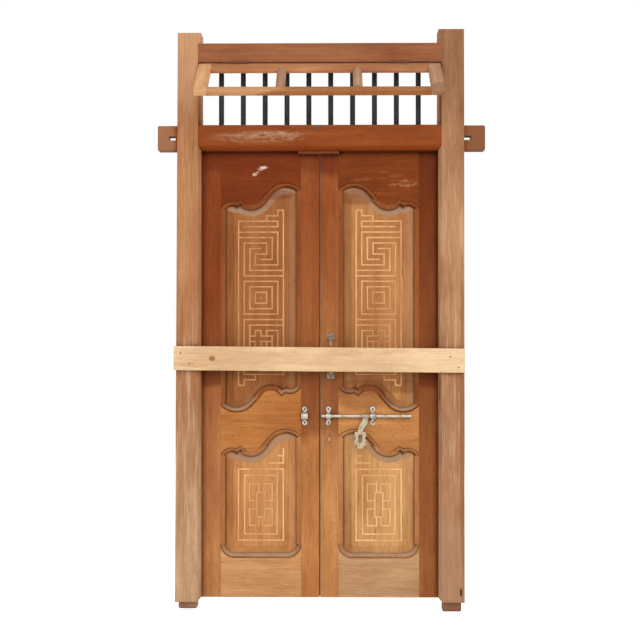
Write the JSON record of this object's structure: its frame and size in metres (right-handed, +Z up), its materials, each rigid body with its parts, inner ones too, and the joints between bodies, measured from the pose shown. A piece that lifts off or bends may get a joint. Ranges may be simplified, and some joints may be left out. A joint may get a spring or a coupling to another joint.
{
  "type": "double-leaf panelled door with frame and transom",
  "caption": "Old wooden double door with scrolled fret panels in a heavy horned frame, under a barred transom with a top-hung sash, with slide bolt, hasp and pull handle.",
  "frame": {"origin": "midway between the two leaves, in the posts' front plane, at the level of the longer foot tenon's end", "axes": "+X to the viewer's right along the lintel, +Y away from the viewer into the wall, +Z up"},
  "size_m": [1.316, 0.2983, 2.33],
  "materials": {
    "post_wood": "bare, weathered",
    "lintel_wood": "worn stain",
    "leaf_wood": "worn stain",
    "panel_wood": "worn stain",
    "moulding_wood": "worn stain",
    "fret_wood": "bare",
    "sash_wood": "bare",
    "batten_pine": "sawn softwood",
    "bar_iron": "dull",
    "grey_iron": "worn grey",
    "hinge_iron": "rusty",
    "hasp_brass": "worn pale"
  },
  "bodies": {
    "frame": {"left_post": "post_wood", "right_post": "post_wood", "lintel": "lintel_wood", "head_rail": "lintel_wood", "head_stop_block": "lintel_wood", "transom_bars": "bar_iron", "sash_catch": "grey_iron", "brace_batten": "batten_pine", "left_hinge_post_flaps": "hinge_iron", "right_hinge_post_flaps": "hinge_iron", "left_hinge_pins": "hinge_iron", "right_hinge_pins": "hinge_iron", "sash_hinge_rail_flaps": "hinge_iron", "sash_hinge_pins": "hinge_iron"},
    "left_leaf": {"left_hanging_stile": "leaf_wood", "left_meeting_stile": "leaf_wood", "left_top_rail": "leaf_wood", "left_lock_rail": "leaf_wood", "left_bottom_rail": "leaf_wood", "left_upper_panel": "panel_wood", "left_upper_moulding": "moulding_wood", "left_upper_fret": "fret_wood", "left_lower_panel": "panel_wood", "left_lower_moulding": "moulding_wood", "left_lower_fret": "fret_wood", "left_hinge_leaf_flaps": "hinge_iron", "bolt_keeper": "grey_iron"},
    "right_leaf": {"right_hanging_stile": "leaf_wood", "right_meeting_stile": "leaf_wood", "right_top_rail": "leaf_wood", "right_lock_rail": "leaf_wood", "right_bottom_rail": "leaf_wood", "right_upper_panel": "panel_wood", "right_upper_moulding": "moulding_wood", "right_upper_fret": "fret_wood", "right_lower_panel": "panel_wood", "right_lower_moulding": "moulding_wood", "right_lower_fret": "fret_wood", "right_hinge_leaf_flaps": "hinge_iron", "inner_bolt_strap": "grey_iron", "outer_bolt_strap": "grey_iron", "staple": "grey_iron", "pull_handle": "grey_iron"},
    "transom_sash": {"sash_top_rail": "sash_wood", "sash_bottom_rail": "sash_wood", "sash_left_stile": "sash_wood", "sash_right_stile": "sash_wood", "sash_left_mullion": "sash_wood", "sash_right_mullion": "sash_wood", "sash_hinge_flaps": "hinge_iron"},
    "bolt": {"bolt_rod": "grey_iron"},
    "hasp": {"hasp": "hasp_brass"}
  },
  "joints": [
    {"name": "left_leaf_hinge", "type": "hinge", "parent": "frame", "child": "left_leaf", "pos_m": [-0.487, 0.0952, 0.04], "axis": [0, 0, 1], "range_deg": [0, 95]},
    {"name": "right_leaf_hinge", "type": "hinge", "parent": "frame", "child": "right_leaf", "pos_m": [0.487, 0.0952, 0.04], "axis": [0, 0, -1], "range_deg": [0, 95]},
    {"name": "sash_hinge", "type": "hinge", "parent": "frame", "child": "transom_sash", "pos_m": [0, -0.0037, 2.198], "axis": [-1, 0, 0], "range_deg": [-53, 32]},
    {"name": "bolt_slide", "type": "slide", "parent": "right_leaf", "child": "bolt", "axis": [1, 0, 0], "range_m": [-0.124, 0]},
    {"name": "hasp_swing", "type": "hinge", "parent": "bolt", "child": "hasp", "pos_m": [0.1845, 0.034, 0.78], "axis": [-1, 0, 0], "range_deg": [-14, 140]}
  ]
}
